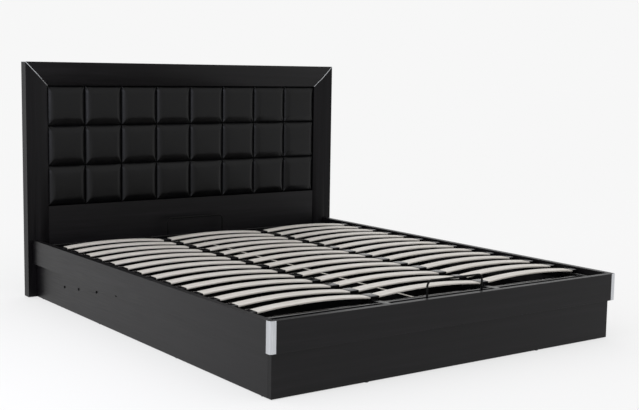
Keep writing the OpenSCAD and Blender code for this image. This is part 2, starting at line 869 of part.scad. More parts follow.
head_bail();
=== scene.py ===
"""Lift-up storage bed: finishes, padded squares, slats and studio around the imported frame."""

import math
import random

import bmesh
import bpy
from mathutils import Matrix, Vector


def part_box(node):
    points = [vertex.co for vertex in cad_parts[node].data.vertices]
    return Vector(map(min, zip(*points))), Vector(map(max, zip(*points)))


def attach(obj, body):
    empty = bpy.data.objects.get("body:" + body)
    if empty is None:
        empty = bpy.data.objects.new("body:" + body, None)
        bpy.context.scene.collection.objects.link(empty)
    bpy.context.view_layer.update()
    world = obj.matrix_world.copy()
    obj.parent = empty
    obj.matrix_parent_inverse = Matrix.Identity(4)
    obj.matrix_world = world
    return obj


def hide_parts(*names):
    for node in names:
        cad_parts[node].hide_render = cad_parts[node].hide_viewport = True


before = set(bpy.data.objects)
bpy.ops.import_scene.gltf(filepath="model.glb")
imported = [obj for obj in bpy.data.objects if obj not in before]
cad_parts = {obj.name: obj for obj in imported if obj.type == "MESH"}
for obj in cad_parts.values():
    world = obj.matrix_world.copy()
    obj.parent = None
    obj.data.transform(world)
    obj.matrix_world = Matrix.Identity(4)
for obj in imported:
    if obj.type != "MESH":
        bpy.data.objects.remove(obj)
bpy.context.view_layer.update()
MM = 0.001


# ---- Camera ----
# How far it is turned right from +Y, tipped down and rolled, in degrees, and where it stands, in metres.
CAMERA_TURN, CAMERA_TIP, CAMERA_ROLL = 35.882, 6.846, 0.899
CAMERA_AT = (-2.8652, -4.0858, 1.0997)
SENSOR_MM = 36
LENS_MM = 63.75
CLIP_END = 100


def place_camera():
    """The camera stands beyond the foot on the left, about as high as the headboard's top."""
    turn, tip, roll = (math.radians(a) for a in (CAMERA_TURN, CAMERA_TIP, CAMERA_ROLL))
    ahead = Vector((math.sin(turn) * math.cos(tip), math.cos(turn) * math.cos(tip), -math.sin(tip)))
    level = Vector((math.cos(turn), -math.sin(turn), 0))
    upright = level.cross(ahead)
    across = math.cos(roll) * level + math.sin(roll) * upright
    above = -math.sin(roll) * level + math.cos(roll) * upright
    data = bpy.data.cameras.new("camera")
    data.sensor_width = SENSOR_MM
    data.lens = LENS_MM
    data.clip_end = CLIP_END
    camera = bpy.data.objects.new("camera", data)
    camera.matrix_world = Matrix([*zip(across, above, -ahead, CAMERA_AT), (0, 0, 0, 1)])
    bpy.context.scene.collection.objects.link(camera)
    bpy.context.scene.camera = camera


place_camera()


# ---- Shader helpers ----
def linear(code):
    """An sRGB hex colour as a linear RGBA tuple."""
    channels = [int(code[i:i + 2], 16) / 255 for i in (1, 3, 5)]
    return tuple(c / 12.92 if c <= 0.04045 else ((c + 0.055) / 1.055) ** 2.4 for c in channels) + (1.0,)


def add(tree, kind, inputs=None, stops=(), **settings):
    """Adds a node. An input is a value or another node's output; stops are a ramp's places and colours."""
    node = tree.nodes.new(kind)
    for key, value in settings.items():
        setattr(node, key, value)
    for key, value in (inputs or {}).items():
        if isinstance(value, bpy.types.NodeSocket):
            tree.links.new(value, node.inputs[key])
        else:
            node.inputs[key].default_value = value
    for i, (place, colour) in enumerate(stops):
        marks = node.color_ramp.elements
        mark = marks[i] if i < len(marks) else marks.new(place)
        mark.position, mark.color = place, colour
    return node


def new_material(name):
    """A new material, its node tree and its shader."""
    material = bpy.data.materials.new(name)
    material.use_nodes = True
    tree = material.node_tree
    return material, tree, tree.nodes["Principled BSDF"]


# ---- Materials ----
# The noise values that give the two ends of a finish's roughness.
NOISE_LOW, NOISE_HIGH = 0.3, 0.7
# Specular level of the foil by grain direction, as lit and shaded copies of one foil: lower on the uprights
# for painted shade, higher on the side rails for painted light.
WENGE_SPECULAR = {"x": 0.19, "y": 0.23, "z": 0.13}
# Scale of the foil's broad bands, as a part of its streaks' scale.
WENGE_BANDS = 0.22


def grain_scale(axis, width, length):
    """A pattern's scale for streaks of this real width and length, running along one axis."""
    return tuple(1 / length if letter == axis else 1 / width for letter in "xyz")


def wenge_foil(axis):
    """Wenge-look melamine foil: near black brown, satin, with fine embossed grain along one axis."""
    material, tree, shader = new_material("wenge_foil_" + axis)
    place = add(tree, "ShaderNodeTexCoord").outputs["Object"]
    scale = grain_scale(axis, 5 * MM, 170 * MM)
    along = add(tree, "ShaderNodeMapping", {"Vector": place, "Scale": scale})
    broad = add(tree, "ShaderNodeMapping", {"Vector": place, "Scale": tuple(s * WENGE_BANDS for s in scale)})
    streaks = add(tree, "ShaderNodeTexNoise", {"Vector": along.outputs["Vector"], "Scale": 1.0, "Detail": 5.0,
                                               "Roughness": 0.62, "Distortion": 0.25})
    bands = add(tree, "ShaderNodeTexNoise", {"Vector": broad.outputs["Vector"], "Scale": 1.0, "Detail": 2.0})
    mixed = add(tree, "ShaderNodeMath", {0: streaks.outputs["Fac"], 1: bands.outputs["Fac"]},
                operation="ADD")
    mean = add(tree, "ShaderNodeMath", {0: mixed.outputs[0], 1: 0.5}, operation="MULTIPLY")
    colour = add(tree, "ShaderNodeValToRGB", {"Fac": mean.outputs[0]},
                 stops=[(0.30, linear("#070608")), (0.50, linear("#0b0a0c")), (0.66, linear("#131114"))])
    tree.links.new(colour.outputs["Color"], shader.inputs["Base Color"])
    satin = add(tree, "ShaderNodeMapRange", {"Value": streaks.outputs["Fac"], "From Min": NOISE_LOW,
                                             "From Max": NOISE_HIGH, "To Min": 0.32, "To Max": 0.44})
    tree.links.new(satin.outputs["Result"], shader.inputs["Roughness"])
    relief = add(tree, "ShaderNodeBump", {"Height": streaks.outputs["Fac"], "Strength": 0.06,
                                          "Distance": 0.4 * MM})
    tree.links.new(relief.outputs["Normal"], shader.inputs["Normal"])
    # The level by axis paints shade on the uprights and light on the side rails.
    shader.inputs["Specular IOR Level"].default_value = WENGE_SPECULAR[axis]
    return material


def leatherette():
    """Black PVC leatherette: soft satin, shallow creases, and a pebbled grain of 1.6 mm.

    Real grain is finer, and this is as fine as it still shows.
    """
    material, tree, shader = new_material("black_leatherette")
    place = add(tree, "ShaderNodeTexCoord").outputs["Object"]
    pebbles = add(tree, "ShaderNodeTexVoronoi", {"Vector": place, "Scale": 1 / (1.6 * MM)},
                  feature="SMOOTH_F1")
    patches = add(tree, "ShaderNodeTexNoise", {"Vector": place, "Scale": 1 / (60 * MM), "Detail": 3.0})
    creases = add(tree, "ShaderNodeTexNoise", {"Vector": place, "Scale": 1 / (14 * MM), "Detail": 4.0,
                                               "Distortion": 0.8})
    colour = add(tree, "ShaderNodeValToRGB", {"Fac": patches.outputs["Fac"]},
                 stops=[(0.3, linear("#040405")), (0.7, linear("#080809"))])
    tree.links.new(colour.outputs["Color"], shader.inputs["Base Color"])
    satin = add(tree, "ShaderNodeMapRange", {"Value": patches.outputs["Fac"], "From Min": NOISE_LOW,
                                             "From Max": NOISE_HIGH, "To Min": 0.30, "To Max": 0.42})
    tree.links.new(satin.outputs["Result"], shader.inputs["Roughness"])
    soft = add(tree, "ShaderNodeBump", {"Height": creases.outputs["Fac"], "Strength": 0.25,
                                        "Distance": 0.8 * MM})
    fine = add(tree, "ShaderNodeBump", {"Height": pebbles.outputs["Distance"],
                                        "Normal": soft.outputs["Normal"],
                                        "Strength": 0.12, "Distance": 0.2 * MM})
    tree.links.new(fine.outputs["Normal"], shader.inputs["Normal"])
    shader.inputs["Specular IOR Level"].default_value = 0.21
    return material


def birch_slat():
    """Bent birch plywood under pale foil: warm off-white with faint streaks along the slat."""
    material, tree, shader = new_material("foiled_birch_slat")
    along = add(tree, "ShaderNodeMapping", {"Vector": add(tree, "ShaderNodeTexCoord").outputs["Object"],
                                            "Scale": grain_scale("x", 4 * MM, 160 * MM)})
    streaks = add(tree, "ShaderNodeTexNoise", {"Vector": along.outputs["Vector"], "Scale": 1.0, "Detail": 4.0,
                                               "Distortion": 0.2})
    colour = add(tree, "ShaderNodeValToRGB", {"Fac": streaks.outputs["Fac"]},
                 stops=[(0.30, linear("#c4beb5")), (0.52, linear("#d3cec7")), (0.72, linear("#dedbd6"))])
    tree.links.new(colour.outputs["Color"], shader.inputs["Base Color"])
    relief = add(tree, "ShaderNodeBump", {"Height": streaks.outputs["Fac"], "Strength": 0.08,
                                          "Distance": 0.3 * MM})
    tree.links.new(relief.outputs["Normal"], shader.inputs["Normal"])
    shader.inputs["Roughness"].default_value = 0.48
    shader.inputs["Specular IOR Level"].default_value = 0.35
    return material


def stained_wood(name, dark, light, axis, roughness):
    """Planed and stained softwood with its grain along one axis."""
    material, tree, shader = new_material(name)
    along = add(tree, "ShaderNodeMapping", {"Vector": add(tree, "ShaderNodeTexCoord").outputs["Object"],
                                            "Scale": grain_scale(axis, 3 * MM, 90 * MM)})
    streaks = add(tree, "ShaderNodeTexNoise", {"Vector": along.outputs["Vector"], "Scale": 1.0, "Detail": 4.0,
                                               "Distortion": 0.4})
    colour = add(tree, "ShaderNodeValToRGB", {"Fac": streaks.outputs["Fac"]},
                 stops=[(0.35, linear(dark)), (0.68, linear(light))])
    tree.links.new(colour.outputs["Color"], shader.inputs["Base Color"])
    relief = add(tree, "ShaderNodeBump", {"Height": streaks.outputs["Fac"], "Strength": 0.2,
                                          "Distance": 0.3 * MM})
    tree.links.new(relief.outputs["Normal"], shader.inputs["Normal"])
    shader.inputs["Roughness"].default_value = roughness
    return material


def speckled(name, dark, light, grain_mm, rough, bump=0.1, metallic=0.0, specular=0.5):
    """A plain finish with the slight mottling and orange peel of its coating."""
    material, tree, shader = new_material(name)
    mottle = add(tree, "ShaderNodeTexNoise", {"Vector": add(tree, "ShaderNodeTexCoord").outputs["Object"],
                                              "Scale": 1 / (grain_mm * MM), "Detail": 3.0})
    colour = add(tree, "ShaderNodeValToRGB", {"Fac": mottle.outputs["Fac"]},
                 stops=[(0.35, linear(dark)), (0.7, linear(light))])
    tree.links.new(colour.outputs["Color"], shader.inputs["Base Color"])
    gloss = add(tree, "ShaderNodeMapRange", {"Value": mottle.outputs["Fac"], "From Min": NOISE_LOW,
                                             "From Max": NOISE_HIGH, "To Min": rough[0], "To Max": rough[1]})
    tree.links.new(gloss.outputs["Result"], shader.inputs["Roughness"])
    relief = add(tree, "ShaderNodeBump", {"Height": mottle.outputs["Fac"], "Strength": bump,
                                          "Distance": 0.2 * MM})
    tree.links.new(relief.outputs["Normal"], shader.inputs["Normal"])
    shader.inputs["Metallic"].default_value = metallic
    shader.inputs["Specular IOR Level"].default_value = specular
    return material


def brushed_aluminium():
    """Anodised aluminium profile, brushed along its height."""
    material, tree, shader = new_material("brushed_aluminium")
    along = add(tree, "ShaderNodeMapping", {"Vector": add(tree, "ShaderNodeTexCoord").outputs["Object"],
                                            "Scale": grain_scale("z", 0.8 * MM, 60 * MM)})
    brushing = add(tree, "ShaderNodeTexNoise", {"Vector": along.outputs["Vector"], "Scale": 1.0,
                                                "Detail": 2.0})
    colour = add(tree, "ShaderNodeValToRGB", {"Fac": brushing.outputs["Fac"]},
                 stops=[(0.3, linear("#b4b6ba")), (0.7, linear("#d2d4d7"))])
    tree.links.new(colour.outputs["Color"], shader.inputs["Base Color"])
    relief = add(tree, "ShaderNodeBump", {"Height": brushing.outputs["Fac"], "Strength": 0.08,
                                          "Distance": 0.1 * MM})
    tree.links.new(relief.outputs["Normal"], shader.inputs["Normal"])
    shader.inputs["Metallic"].default_value = 1.0
    shader.inputs["Roughness"].default_value = 0.34
    return material


WENGE = {axis: wenge_foil(axis) for axis in "xyz"}
LEATHER = leatherette()
BIRCH = birch_slat()
ALUMINIUM = brushed_aluminium()
# Powder coat has a fine orange peel and a semi-gloss.
POWDER_COAT = speckled("black_powder_coat", "#070708", "#0c0c0d", 2.5, (0.10, 0.16), bump=0.06)
# The thin wire has a duller coat than the tubes.
WIRE_COAT = speckled("dull_black_wire_coat", "#030303", "#070707", 1.5, (0.5, 0.6), specular=0.15)
# Injection-moulded polypropylene from a polished mould: its top catches the light at a low angle.
MOULDED = speckled("moulded_plastic", "#060607", "#0a0a0c", 6, (0.14, 0.20), bump=0.03, specular=0.24)
# Black oxide on the bolts is oily and dull, so the heads read as dark spots.
BLACK_OXIDE = speckled("black_oxide", "#020202", "#050505", 1.5, (0.75, 0.85), bump=0.2, specular=0.1)
# Zinc plating has a faint crystalline mottle.
ZINC = speckled("zinc_plating", "#8d9095", "#b4b7bb", 4, (0.32, 0.45), metallic=1.0)
CHROME = speckled("hard_chrome", "#d4d6d9", "#e2e4e6", 8, (0.06, 0.10), bump=0.02, metallic=1.0)
RUBBER = speckled("rubber", "#1b1b1b", "#262626", 1.5, (0.7, 0.85), bump=0.3)
# The divider's faces are black melamine, matt; its top edge is painted pale as a highlight.
DIVIDER_FACE = speckled("black_melamine", "#040404", "#090909", 1.2, (0.6, 0.7), bump=0.12, specular=0.1)
# Painted highlight for the divider's top edge: pale, with a light texture.
DIVIDER_TOP_HIGHLIGHT = speckled("divider_top_painted_highlight", "#cbc6bc", "#d8d4cb", 1.2, (0.42, 0.52), bump=0.12)
# Battens are planed softwood stained black, matt, with the grain just showing.
STAINED = {axis: stained_wood("black_stained_batten_" + axis, "#080707", "#141112", axis, 0.65)
           for axis in "xy"}
# Needle-felt lining on the storage floor and behind the squares: black and quite matt.
BLACK_LINING = speckled("black_felt_lining", "#020202", "#060606", 1.6, (0.9, 1.0), bump=0.5, specular=0.04)


# ---- Pieces from CAD solids ----
def finish_piece(piece, body, replaced):
    """Hands a finished piece to its body and the CAD nodes that it stands for."""
    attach(piece, body)
    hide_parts(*replaced)
    return piece


# Edges of a CAD solid that are sharper than SHARP are eased; edges over CREASE are shaded as sharp.
SHARP = math.radians(32)
CREASE = math.radians(25)
# An edge eased by more than this takes three segments, and any other takes two.
WIDE_EDGE = 1 * MM
# Coplanar faces closer than FLAT are one face, and points closer than JOINED are one point.
FLAT = math.radians(0.5)
JOINED = 0.02 * MM


def smoothed(piece):
    """Smooth shading that stays sharp across real edges."""
    for polygon in piece.data.polygons:
        polygon.use_smooth = True
    piece.data.set_sharp_from_angle(angle=CREASE)
    return piece


def link_mesh(name, bm, material):
    """A new object in the scene from this bmesh, which is freed."""
    mesh = bpy.data.meshes.new(name)
    bm.to_mesh(mesh)
    bm.free()
    mesh.materials.append(material)
    piece = bpy.data.objects.new(name, mesh)
    bpy.context.scene.collection.objects.link(piece)
    return piece


def eased(node, material, edge, body):
    """A copy of a CAD node with its sharp edges eased by a small radius, in metres."""
    bm = bmesh.new()
    bm.from_mesh(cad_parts[node].data)
    bmesh.ops.remove_doubles(bm, verts=bm.verts, dist=JOINED)
    bmesh.ops.dissolve_limit(bm, angle_limit=FLAT, verts=bm.verts, edges=bm.edges)
    sharp = [e for e in bm.edges if e.is_manifold and e.calc_face_angle() > SHARP]
    bmesh.ops.bevel(bm, geom=sharp, offset=edge, segments=3 if edge > WIDE_EDGE else 2, profile=0.5,
                    affect="EDGES", clamp_overlap=True)
    return finish_piece(smoothed(link_mesh(node + "_piece", bm, material)), body, (node,))


BOARD_EDGE = 0.8 * MM
BOARDS = {
    "headboard_top_rail": "x", "headboard_left_stile": "z", "headboard_right_stile": "z",
    "headboard_lower_panel": "x", "headboard_back_panel": "x",
    "side_rail_left": "y", "side_rail_right": "y", "foot_rail": "x",
    "plinth_side_left": "y", "plinth_side_right": "y", "plinth_foot": "x", "plinth_head": "x",
    "corner_posts": "z",
}
# Each side of the lift: the name's start, finish, radius of the eased edges in mm, body and slot.
LIFT_PARTS = [
    ("rear_arm_", POWDER_COAT, 0.5, "rear_arms", "black_steel"),
    ("front_arm_", POWDER_COAT, 0.5, "front_arms", "black_steel"),
    ("gas_cylinder_", POWDER_COAT, 0.8, "gas_cylinders", "black_steel"),
    ("gas_rod_", CHROME, 0.4, "gas_rods", "chrome_rod"),
]
# The same for all other fittings, with the whole names.
FITTINGS = [
    (["corner_cap_left", "corner_cap_right"], ALUMINIUM, 0.5, "base", "aluminium"),
    (["mitre_inlays"], ALUMINIUM, 0.3, "base", "aluminium"),
    (["lift_plate_left", "lift_plate_right"], POWDER_COAT, 0.4, "base", "black_steel"),
    (["side_batten_left", "side_batten_right"], STAINED["y"], 0.8, "base", "black_wood"),
    (["foot_batten"], STAINED["x"], 0.8, "base", "black_wood"),
    (["floor_battens"], STAINED["y"], 0.8, "base", "black_wood"),
    (["headboard_pad_board"], BLACK_LINING, 0.8, "base", "black_lining"),
    # The divider's slot name comes from the CAD; its pale top is a painted highlight.
    (["centre_divider"], DIVIDER_FACE, 0.4, "base", "white_board"),
    (["storage_floor_head", "storage_floor_foot"], BLACK_LINING, 0.4, "base", "black_lining"),
    (["stop_pads", "glides"], RUBBER, 0.4, "base", "rubber"),
    (["plinth_angles", "headboard_bolts", "barrel_nuts"], ZINC, 0.3, "base", "zinc_steel"),
    (["plinth_bolts"], BLACK_OXIDE, 0.5, "base", "black_steel"),
    *(([part + side], *rest) for side in ("left", "right") for part, *rest in LIFT_PARTS),
    (["frame_side_tube_left", "frame_side_tube_right", "frame_foot_tube", "frame_head_tube",
      "inner_tube_left", "inner_tube_right", "cross_tubes"],
     POWDER_COAT, 1.8, "slatted_frame", "black_steel"),
    (["lift_brackets"], POWDER_COAT, 0.4, "slatted_frame", "black_steel"),
    (["foot_bail", "head_bail"], WIRE_COAT, 0.2, "slatted_frame", "black_steel"),
]
for node, axis in BOARDS.items():
    eased(node, WENGE[axis], BOARD_EDGE, "base")
fittings = {}
for nodes, finish, edge_mm, body, slot in FITTINGS:
    for node in nodes:
        fittings[node] = eased(node, finish, edge_mm * MM, body)

# Only the divider's upward faces are pale: a painted highlight along its top edge.
UPWARD = 0.9
divider = fittings["centre_divider"].data
divider.materials.append(DIVIDER_TOP_HIGHLIGHT)
for polygon in divider.polygons:
    if polygon.normal.z > UPWARD:
        polygon.material_index = 1


# ---- Slats and their holders, in rows ----
SLAT_WIDTH = 53 * MM
SLAT_THICK = 7 * MM
SLAT_PITCH = 124 * MM
SLAT_ROUNDING = 2.2 * MM
# Points along a slat's bow, and on each rounded corner of a slat or holder.
SLAT_STEPS = 20
CORNER_STEPS = 3
HOLDER_WALL = 2 * MM
HOLDER_FLOOR = 4 * MM
HOLDER_ROOF = 1.2 * MM
HOLDER_ROUNDING = 1.6 * MM
# How much wider a holder's pocket is than the slat.
HOLDER_PLAY = 0.6 * MM
DOUBLE_LENGTH = 40 * MM
END_LENGTH = 22 * MM
# The stop is in the middle of a double holder, and at the outer end of an end one.
DOUBLE_STOP = 10 * MM
END_STOP = 2 * MM
# A stop is this much larger than its pocket, so that it runs into the walls.
STOP_GROWTH = (1, 1.01, 1.05)
# Points of a holder's shell that are closer than this are one point.
SEAM = 0.01 * MM
FLOAT, VECTOR, WHOLE = "NodeSocketFloat", "NodeSocketVector", "NodeSocketInt"


def rows_tree(name, sizes, shape):
    """A tree that repeats one shape in rows, with its sizes as named inputs."""
    tree = bpy.data.node_groups.new(name, "GeometryNodeTree")
    for size, kind in {**sizes, "Rows": WHOLE, "First Place": VECTOR, "Step": VECTOR,
                       "Finish": "NodeSocketMaterial"}.items():
        tree.interface.new_socket(size, in_out="INPUT", socket_type=kind)
    tree.interface.new_socket("Geometry", in_out="OUTPUT", socket_type="NodeSocketGeometry")
    given = add(tree, "NodeGroupInput").outputs
    line = add(tree, "GeometryNodeMeshLine", {"Count": given["Rows"], "Start Location": given["First Place"],
                                              "Offset": given["Step"]})
    repeated = add(tree, "GeometryNodeInstanceOnPoints", {"Points": line.outputs[0],
                                                          "Instance": shape(tree, given)})
    plain = add(tree, "GeometryNodeRealizeInstances", {"Geometry": repeated.outputs[0]})
    finished = add(tree, "GeometryNodeSetMaterial", {"Geometry": plain.outputs[0],
                                                     "Material": given["Finish"]})
    add(tree, "NodeGroupOutput", {"Geometry": finished.outputs[0]})
    return tree


def slat_shape(tree, given):
    """A rounded slat section swept along a shallow bow, with its underside at 0 at the ends."""
    half = add(tree, "ShaderNodeMath", {0: given["Span"], 1: 0.5}, operation="MULTIPLY").outputs[0]
    back = add(tree, "ShaderNodeMath", {0: given["Span"], 1: -0.5}, operation="MULTIPLY").outputs[0]
    rest = add(tree, "ShaderNodeMath", {0: given["Thickness"], 1: 0.5}, operation="MULTIPLY").outputs[0]
    peak = add(tree, "ShaderNodeMath", {0: given["Bow"], 1: 2.0, 2: rest},
               operation="MULTIPLY_ADD").outputs[0]
    bow = add(tree, "GeometryNodeCurveQuadraticBezier", {
        "Resolution": SLAT_STEPS,
        "Start": add(tree, "ShaderNodeCombineXYZ", {"X": back, "Z": rest}).outputs[0],
        "Middle": add(tree, "ShaderNodeCombineXYZ", {"Z": peak}).outputs[0],
        "End": add(tree, "ShaderNodeCombineXYZ", {"X": half, "Z": rest}).outputs[0]})
    level = add(tree, "GeometryNodeSetCurveNormal", {"Curve": bow.outputs[0]}, mode="Z_UP")
    section = add(tree, "GeometryNodeCurvePrimitiveQuadrilateral", {"Width": given["Width"],
                                                                    "Height": given["Thickness"]})
    rounded = add(tree, "GeometryNodeFilletCurve", {"Curve": section.outputs[0], "Radius": given["Rounding"],
                                                    "Count": CORNER_STEPS}, mode="POLY")
    return add(tree, "GeometryNodeCurveToMesh", {
        "Curve": level.outputs[0], "Profile Curve": rounded.outputs[0], "Fill Caps": True}).outputs[0]


def holder_shape(tree, given):
    """A moulded sleeve along X, open at its ends, with a stop inside that the slats butt against."""
    outer = add(tree, "GeometryNodeFilletCurve", {
        "Curve": add(tree, "GeometryNodeCurvePrimitiveQuadrilateral", {
            "Width": given["Width"], "Height": given["Height"]}).outputs[0],
        "Radius": given["Rounding"], "Count": CORNER_STEPS}, mode="POLY")
    pocket = add(tree, "GeometryNodeTransform", {
        "Geometry": add(tree, "GeometryNodeCurvePrimitiveQuadrilateral", {
            "Width": given["Pocket Width"], "Height": given["Pocket Height"]}).outputs[0],
        "Translation": add(tree, "ShaderNodeCombineXYZ", {"Y": given["Pocket Rise"]}).outputs[0]})
    outline = add(tree, "GeometryNodeJoinGeometry")
    tree.links.new(outer.outputs[0], outline.inputs[0])
    tree.links.new(pocket.outputs[0], outline.inputs[0])
    end = add(tree, "GeometryNodeFillCurve", {"Curve": outline.outputs[0]})
    sleeve = add(tree, "GeometryNodeExtrudeMesh", {"Mesh": end.outputs[0], "Offset Scale": given["Length"],
                                                   "Individual": False})
    closing = add(tree, "GeometryNodeFlipFaces", {"Mesh": end.outputs[0]})
    shell = add(tree, "GeometryNodeJoinGeometry")
    tree.links.new(sleeve.outputs["Mesh"], shell.inputs[0])
    tree.links.new(closing.outputs[0], shell.inputs[0])
    merged = add(tree, "GeometryNodeMergeByDistance", {"Geometry": shell.outputs[0], "Distance": SEAM})
    back = add(tree, "ShaderNodeMath", {0: given["Length"], 1: -0.5}, operation="MULTIPLY").outputs[0]
    rise = add(tree, "ShaderNodeMath", {0: given["Height"], 1: 0.5}, operation="MULTIPLY").outputs[0]
    laid = add(tree, "GeometryNodeTransform", {
        "Geometry": merged.outputs[0], "Rotation": (math.pi / 2, 0, math.pi / 2),
        "Translation": add(tree, "ShaderNodeCombineXYZ", {"X": back, "Z": rise}).outputs[0]})
    lift = add(tree, "ShaderNodeMath", {0: rise, 1: given["Pocket Rise"]}, operation="ADD").outputs[0]
    stop = add(tree, "GeometryNodeMeshCube", {"Size": add(tree, "ShaderNodeCombineXYZ", {
        "X": given["Stop Length"], "Y": given["Pocket Width"], "Z": given["Pocket Height"]}).outputs[0]})
    inside = add(tree, "GeometryNodeTransform", {
        "Geometry": stop.outputs[0], "Scale": STOP_GROWTH,
        "Translation": add(tree, "ShaderNodeCombineXYZ", {"X": given["Stop Place"], "Z": lift}).outputs[0]})
    whole = add(tree, "GeometryNodeJoinGeometry")
    tree.links.new(laid.outputs[0], whole.inputs[0])
    tree.links.new(inside.outputs[0], whole.inputs[0])
    return whole.outputs[0]


SLATS = rows_tree("bowed_slats", {"Span": FLOAT, "Width": FLOAT, "Thickness": FLOAT, "Bow": FLOAT,
                                  "Rounding": FLOAT}, slat_shape)
HOLDERS = rows_tree("slat_holders", {"Length": FLOAT, "Width": FLOAT, "Height": FLOAT, "Pocket Width": FLOAT,
                                     "Pocket Height": FLOAT, "Pocket Rise": FLOAT, "Stop Length": FLOAT,
                                     "Stop Place": FLOAT, "Rounding": FLOAT}, holder_shape)


def grown(tree, values):
    """The plain mesh that a tree makes from these values."""
    maker = bpy.data.objects.new("maker", bpy.data.meshes.new("maker"))
    bpy.context.scene.collection.objects.link(maker)
    modifier = maker.modifiers.new("rows", "NODES")
    modifier.node_group = tree
    for item in tree.interface.items_tree:
        if item.name in values:
            modifier[item.identifier] = values[item.name]
    mesh = bpy.data.meshes.new_from_object(maker.evaluated_get(bpy.context.evaluated_depsgraph_get()))
    bpy.data.objects.remove(maker)
    return mesh


def row_piece(node, body, material, meshes):
    """One piece from the rows' meshes, standing for a CAD node. A tree leaves its first slot empty."""
    bm = bmesh.new()
    for mesh in meshes:
        bm.from_mesh(mesh)
    for face in bm.faces:
        face.material_index = 0
    return finish_piece(smoothed(link_mesh(node + "_piece", bm, material)), body, (node,))


def row_layout(node, width):
    """A node's corners, where along Y the middle of its first row is, and the tree's values for its rows."""
    low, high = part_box(node)
    rows = round((high[1] - low[1] - width) / SLAT_PITCH) + 1
    return low, high, high[1] - width / 2, {"Width": width, "Rows": rows, "Step": (0, -SLAT_PITCH, 0)}


for node in ("slats_left", "slats_middle", "slats_right"):
    low, high, first_y, values = row_layout(node, SLAT_WIDTH)
    values.update({"Span": high[0] - low[0], "Thickness": SLAT_THICK, "Bow": high[2] - low[2] - SLAT_THICK,
                   "Rounding": SLAT_ROUNDING, "First Place": ((low[0] + high[0]) / 2, first_y, low[2]),
                   "Finish": BIRCH})
    row_piece(node, "slatted_frame", BIRCH, [grown(SLATS, values)])

for node, length, stop_length, stop_place in (
        ("double_holders", DOUBLE_LENGTH, DOUBLE_STOP, 0.0),
        ("end_holders", END_LENGTH, END_STOP, (END_LENGTH - END_STOP) / 2)):
    low, high, first_y, values = row_layout(node, SLAT_WIDTH + 2 * HOLDER_WALL)
    height = high[2] - low[2]
    values.update({"Length": length, "Height": height, "Pocket Width": SLAT_WIDTH + HOLDER_PLAY,
                   "Pocket Height": height - HOLDER_FLOOR - HOLDER_ROOF,
                   "Pocket Rise": (HOLDER_FLOOR - HOLDER_ROOF) / 2, "Stop Length": stop_length,
                   "Rounding": HOLDER_ROUNDING, "Finish": MOULDED})
    row_piece(node, "slatted_frame", MOULDED, [
        grown(HOLDERS, {**values, "Stop Place": side * stop_place,
                        "First Place": (side * (high[0] - length / 2), first_y, low[2])})
        for side in (-1, 1)])


# ---- Padded squares ----
PAD_GAP = 2 * MM
# How far a side of the cloth starts inside its final place, and how much shallower the start is.
PAD_START = 1.5 * MM
PAD_SWELL = 7 * MM
# How far a point of the cloth may move, and the size of its mesh.
PAD_CAP = 9 * MM
PAD_VOXEL = 5.5 * MM
# Cells across the first shape, and the part of the depth that its upright sides take.
PAD_CELLS = 30
PAD_RIM = 0.5
# The crown's outline across the square, and how full it is towards the edges.
PAD_OUTLINE = 2.4
PAD_FULLNESS = 0.5
# These squares are small and thick, so they need far more pressure than a seat cushion to fill out.
PAD_PRESSURE = 80
PAD_MASS = 0.05
PAD_STIFFNESS = 5
PAD_BENDING = 0.1
PAD_STEPS = 20
# Depth of the flattest square, as a part of the fullest, and the seed for how the squares differ.
PAD_FLATTEST = 0.95
PAD_SEED = 4


def crowned_square(width, height, depth):
    """A closed square round the origin: flat back at y = 0, upright sides, front crowned to y = -depth."""
    bm = bmesh.new()
    cells = PAD_CELLS
    rim = depth * PAD_RIM
    front, back = {}, {}
    spots = [(i, j) for i in range(cells + 1) for j in range(cells + 1)]
    for i, j in spots:
        u, v = 2 * i / cells - 1, 2 * j / cells - 1
        crown = ((1 - abs(u) ** PAD_OUTLINE) * (1 - abs(v) ** PAD_OUTLINE)) ** PAD_FULLNESS
        front[i, j] = bm.verts.new((u * width / 2, -rim - (depth - rim) * crown, v * height / 2))
        back[i, j] = bm.verts.new((u * width / 2, 0, v * height / 2))
    for i, j in spots:
        if i < cells and j < cells:
            corners = [(i, j), (i + 1, j), (i + 1, j + 1), (i, j + 1)]
            bm.faces.new([front[c] for c in corners])
            bm.faces.new([back[c] for c in reversed(corners)])
    rim_line = [(i, 0) for i in range(cells)] + [(cells, j) for j in range(cells)]
    rim_line += [(i, cells) for i in range(cells, 0, -1)] + [(0, j) for j in range(cells, 0, -1)]
    for here, after in zip(rim_line, rim_line[1:] + rim_line[:1]):
        bm.faces.new([front[after], front[here], back[here], back[after]])
    bmesh.ops.recalc_face_normals(bm, faces=bm.faces)
    return bm


